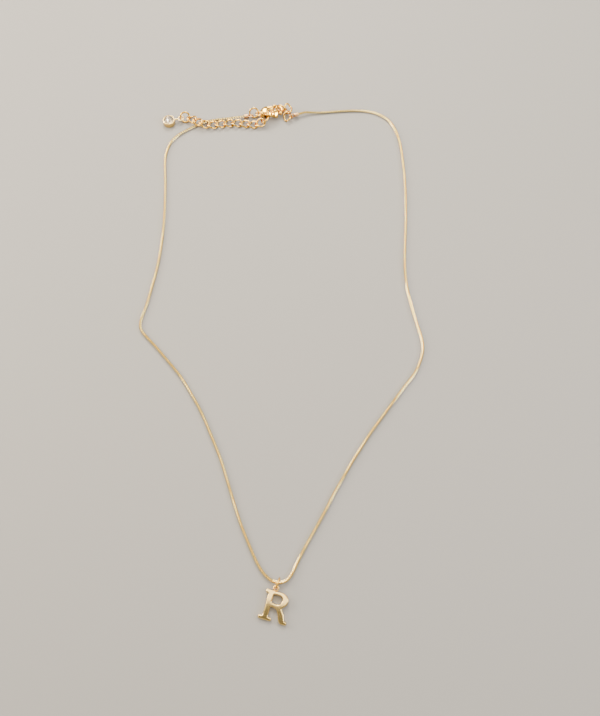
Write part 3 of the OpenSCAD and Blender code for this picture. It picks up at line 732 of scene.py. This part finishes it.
hook_shapes = [cheek(1), cheek(-1), core(), hooked_arm(), soldered_ring(TAIL_D, TAIL_WIRE)]
piece("clasp_hook", at_pose(hook_shapes, CLASP_AT, CLASP_SPIN), "root", ["clasp_body"],
      [WIRE_GOLD], sharp=50)
piece("clasp_gate", at_pose([lever()], CLASP_AT, CLASP_SPIN), "lever", ["clasp_lever"],
      [WIRE_GOLD], sharp=50)
piece("clasp_pin", at_pose([rivet()], CLASP_AT, CLASP_SPIN), "root", ["clasp_rivet"],
      [WIRE_GOLD])


# Drop: bezel, neck, loop and cut stone, along -X from the middle of the stone

STONE_D, BEZEL_WALL, BEZEL_H, DROP_LOOP_D, DROP_LOOP_WIRE, DROP_TURN = 3.7, 0.28, 1.9, 2.3, 0.42, 195
NECK_L, NECK_D, GIRDLE_Z, GIRDLE_H, DROP_CONTACT = 2.2, 0.7, 1.68, 0.12, -165
SEAT_PLAY, SEAT_TOP, CUP_FLOOR, STONE_LIFT = 0.02, 0.13, 0.15, 0.03
# the neck's share of thickness at its loop, what it gains by the bezel, and its overlap with both
NECK_THIN, NECK_GAIN, NECK_IN_LOOP, NECK_IN_CUP = 0.8, 0.35, 0.1, 0.15
# heights as shares of the stone's width, and facet corners as shares of its radius
CROWN_H, PAVILION_H, TABLE_R, STAR_R, LOW_STAR_R = 0.16, 0.36, 0.56, 0.8, 0.3
BEZEL_R, STONE_R = STONE_D / 2 + BEZEL_WALL, STONE_D / 2
DROP_SPIN = turn(DROP_TURN)


def drop_loop_place():
    """Where the drop's loop hangs: at its contact angle on the leaning ring's centre line."""
    lean, contact = np.radians([DROP_RING_LEAN, DROP_CONTACT])
    way = [np.cos(contact), np.sin(contact) * np.cos(lean), np.sin(contact) * np.sin(lean)]
    return middle("drop_ring") + (DROP_RING_D - BIG_RING_WIRE) / 2 * np.array(way)


LOOP_PLACE = drop_loop_place()
DROP_AT = (LOOP_PLACE + DROP_SPIN @ [NECK_L + BEZEL_R, 0, 0]) * [1, 1, 0]


def bezel_cup():
    """The closed-back cup: a wall with a round foot, a burnished lip over the girdle, and its seat.

    Foot and lip are listed by how far in from the wall they are, and how far up from the back or down
    from the top.
    """
    r, h, seat = BEZEL_R, BEZEL_H, STONE_R + SEAT_PLAY
    foot = [(NEAR_AXIS, 0), (r - 0.22, 0), (r - 0.1, 0.03), (r - 0.03, 0.1), (r, 0.22)]
    lip = [(r, h - 0.28), (r - 0.02, h - 0.16), (r - 0.08, h - 0.06), (r - 0.17, h), (r - 0.27, h),
           (r - 0.33, h - 0.03)]
    within = [(seat, GIRDLE_Z + SEAT_TOP), (seat, GIRDLE_Z - SEAT_PLAY),
              (LOW_STAR_R * STONE_R, CUP_FLOOR), (NEAR_AXIS, CUP_FLOOR)]
    return lathe(foot + lip + within, sides=72)


def drop_neck():
    """The neck from the bezel to the loop, which widens by the square of the way towards the bezel."""
    way = np.linspace(0, 1, 12)
    start, end = DROP_LOOP_D / 2 - NECK_IN_LOOP - BEZEL_R - NECK_L, NECK_IN_CUP - BEZEL_R
    x = start + (end - start) * way
    radius = NECK_D / 2 * (NECK_THIN + NECK_GAIN * way ** 2)
    return tube(np.stack([x, 0 * x, 0 * x + LOOP_PLACE[2]], 1), radius)


def drop_loop():
    """The drop's soldered loop, level with its neck."""
    points, faces = soldered_ring(DROP_LOOP_D, DROP_LOOP_WIRE)
    return points + [-BEZEL_R - NECK_L, 0, LOOP_PLACE[2]], faces


piece("drop_bezel", at_pose([bezel_cup(), drop_neck(), drop_loop()], DROP_AT, DROP_SPIN),
      "root", ["drop_setting"], [CAST_GOLD])


def round_brilliant():
    """A round brilliant: table, stars, kites and halves above the girdle, halves and mains below it.

    Each kite lies in the plane through a table corner and the girdle: z falls from the crown's height
    at the table's radius to zero at the girdle's, along the kite's own direction.
    """
    crown, depth = CROWN_H * STONE_D, PAVILION_H * STONE_D
    table, star, low_star = TABLE_R * STONE_R, STAR_R * STONE_R, LOW_STAR_R * STONE_R
    whole, half = np.radians(45 * np.arange(8)), np.radians(45 * np.arange(8) + 22.5)

    def ring(r, z, angle):
        return np.stack([r * np.cos(angle), r * np.sin(angle), np.full(8, z)], 1)

    tip = math.cos(math.pi / 8)
    star_z = crown * (STONE_R - star * tip) / (STONE_R - table)
    low_z = -depth * (STONE_R - low_star * tip) / STONE_R
    points = np.concatenate([
        ring(table, GIRDLE_H + crown, whole), ring(star, GIRDLE_H + star_z, half),
        ring(STONE_R, GIRDLE_H, whole), ring(STONE_R, GIRDLE_H, half),
        ring(STONE_R, 0, whole), ring(STONE_R, 0, half), ring(low_star, low_z, half), [[0, 0, -depth]]])
    k, n = np.arange(8), (np.arange(8) + 1) % 8
    t, s, g, h, u, v, w, culet = 0, 8, 16, 24, 32, 40, 48, np.full(8, 56)
    top = [k[None], np.stack([t + k, s + k, t + n], 1), np.stack([t + n, s + k, g + n, s + n], 1),
           np.stack([s + k, g + k, h + k], 1), np.stack([s + k, h + k, g + n], 1),
           np.stack([g + k, u + k, v + k, h + k], 1), np.stack([h + k, v + k, u + n, g + n], 1)]
    below = [np.stack([u + k, w + k, v + k], 1), np.stack([v + k, w + k, u + n], 1),
             np.stack([u + n, w + k, culet, w + n], 1)]
    return points + [0, 0, GIRDLE_Z + STONE_LIFT], top + below, [0] * len(top) + [1] * len(below)


stone_points, stone_faces, stone_finishes = round_brilliant()
piece("drop_crystal", [(placed(stone_points, DROP_AT, DROP_SPIN), stone_faces, stone_finishes)],
      "root", ["drop_stone"], [CRYSTAL, FOIL], sharp=1)


# Floor, light and camera

# half the floor's side, and its height just under the lowest metal, in metres
FLOOR_HALF, FLOOR_Z = 0.8, -2e-5
floor_mesh = bpy.data.meshes.new("floor")
floor_mesh.from_pydata([(-FLOOR_HALF, -FLOOR_HALF, FLOOR_Z), (FLOOR_HALF, -FLOOR_HALF, FLOOR_Z),
                        (FLOOR_HALF, FLOOR_HALF, FLOOR_Z), (-FLOOR_HALF, FLOOR_HALF, FLOOR_Z)],
                       [], [(0, 1, 2, 3)])
floor_mesh.materials.append(simple("pale_matt_floor", "#8f8b83", Roughness=0.7))
floor = bpy.data.objects.new("floor", floor_mesh)
bpy.context.scene.collection.objects.link(floor)


def soft_light(name, at, aim, size, power, colour):
    """A square soft box of a size in metres, turned to face a place."""
    lamp = bpy.data.lights.new(name, "AREA")
    lamp.size, lamp.energy, lamp.color = size, power, linear(colour)[:3]
    obj = bpy.data.objects.new(name, lamp)
    obj.location = at
    way = np.array(aim, float) - np.array(at, float)
    obj.rotation_euler = (math.atan2(math.hypot(way[0], way[1]), -way[2]), 0,
                          math.atan2(way[0], -way[1]) + math.pi)
    bpy.context.scene.collection.objects.link(obj)


soft_light("overhead_soft_box", at=(-0.04, 0.20, 0.5), aim=(-0.04, 0.19, 0),
           size=0.6, power=5.0, colour="#fff8ee")
soft_light("back_soft_box", at=(-0.02, 0.5, 0.42), aim=(0, 0.05, 0),
           size=0.24, power=5.5, colour="#fff6ea")
soft_light("side_soft_box", at=(-0.45, 0.15, 0.22), aim=(0, 0, 0),
           size=0.22, power=4.6, colour="#fff3e2")
soft_light("fill_soft_box", at=(0.5, -0.05, 0.3), aim=(0, 0, 0),
           size=0.26, power=3.0, colour="#f1f4ff")

world = bpy.data.worlds.new("studio_surround")
bpy.context.scene.world = world
world.use_nodes = True
sky = world.node_tree
# a light surround that darkens smoothly towards the ceiling, by the height of the direction
height = add(sky, "ShaderNodeSeparateXYZ", Vector=add(sky, "ShaderNodeTexCoord").outputs["Generated"])
surround = add(sky, "ShaderNodeMapRange", {"interpolation_type": "SMOOTHSTEP"},
               Value=height.outputs["Z"], From_Min=0.6, From_Max=0.98, To_Min=0.95, To_Max=0.35)
sky.links.new(surround.outputs["Result"], sky.nodes["Background"].inputs["Strength"])
sky.nodes["Background"].inputs["Color"].default_value = linear("#f4f2ee")

# the lens and place that lay the solids over the photograph
PHOTO_FOCAL_PX, PHOTO_HEIGHT_PX, SENSOR_MM = 700, 716, 36.0
CAMERA_AT, CAMERA_TILT = (0.006, -0.0884, 0.205), 20.96
lens = bpy.data.cameras.new("photo_camera")
lens.sensor_width, lens.lens = SENSOR_MM, SENSOR_MM * PHOTO_FOCAL_PX / PHOTO_HEIGHT_PX
lens.clip_start = 0.01
camera = bpy.data.objects.new("photo_camera", lens)
camera.location = CAMERA_AT
camera.rotation_euler = (math.radians(CAMERA_TILT), 0, 0)
bpy.context.scene.collection.objects.link(camera)
bpy.context.scene.camera = camera
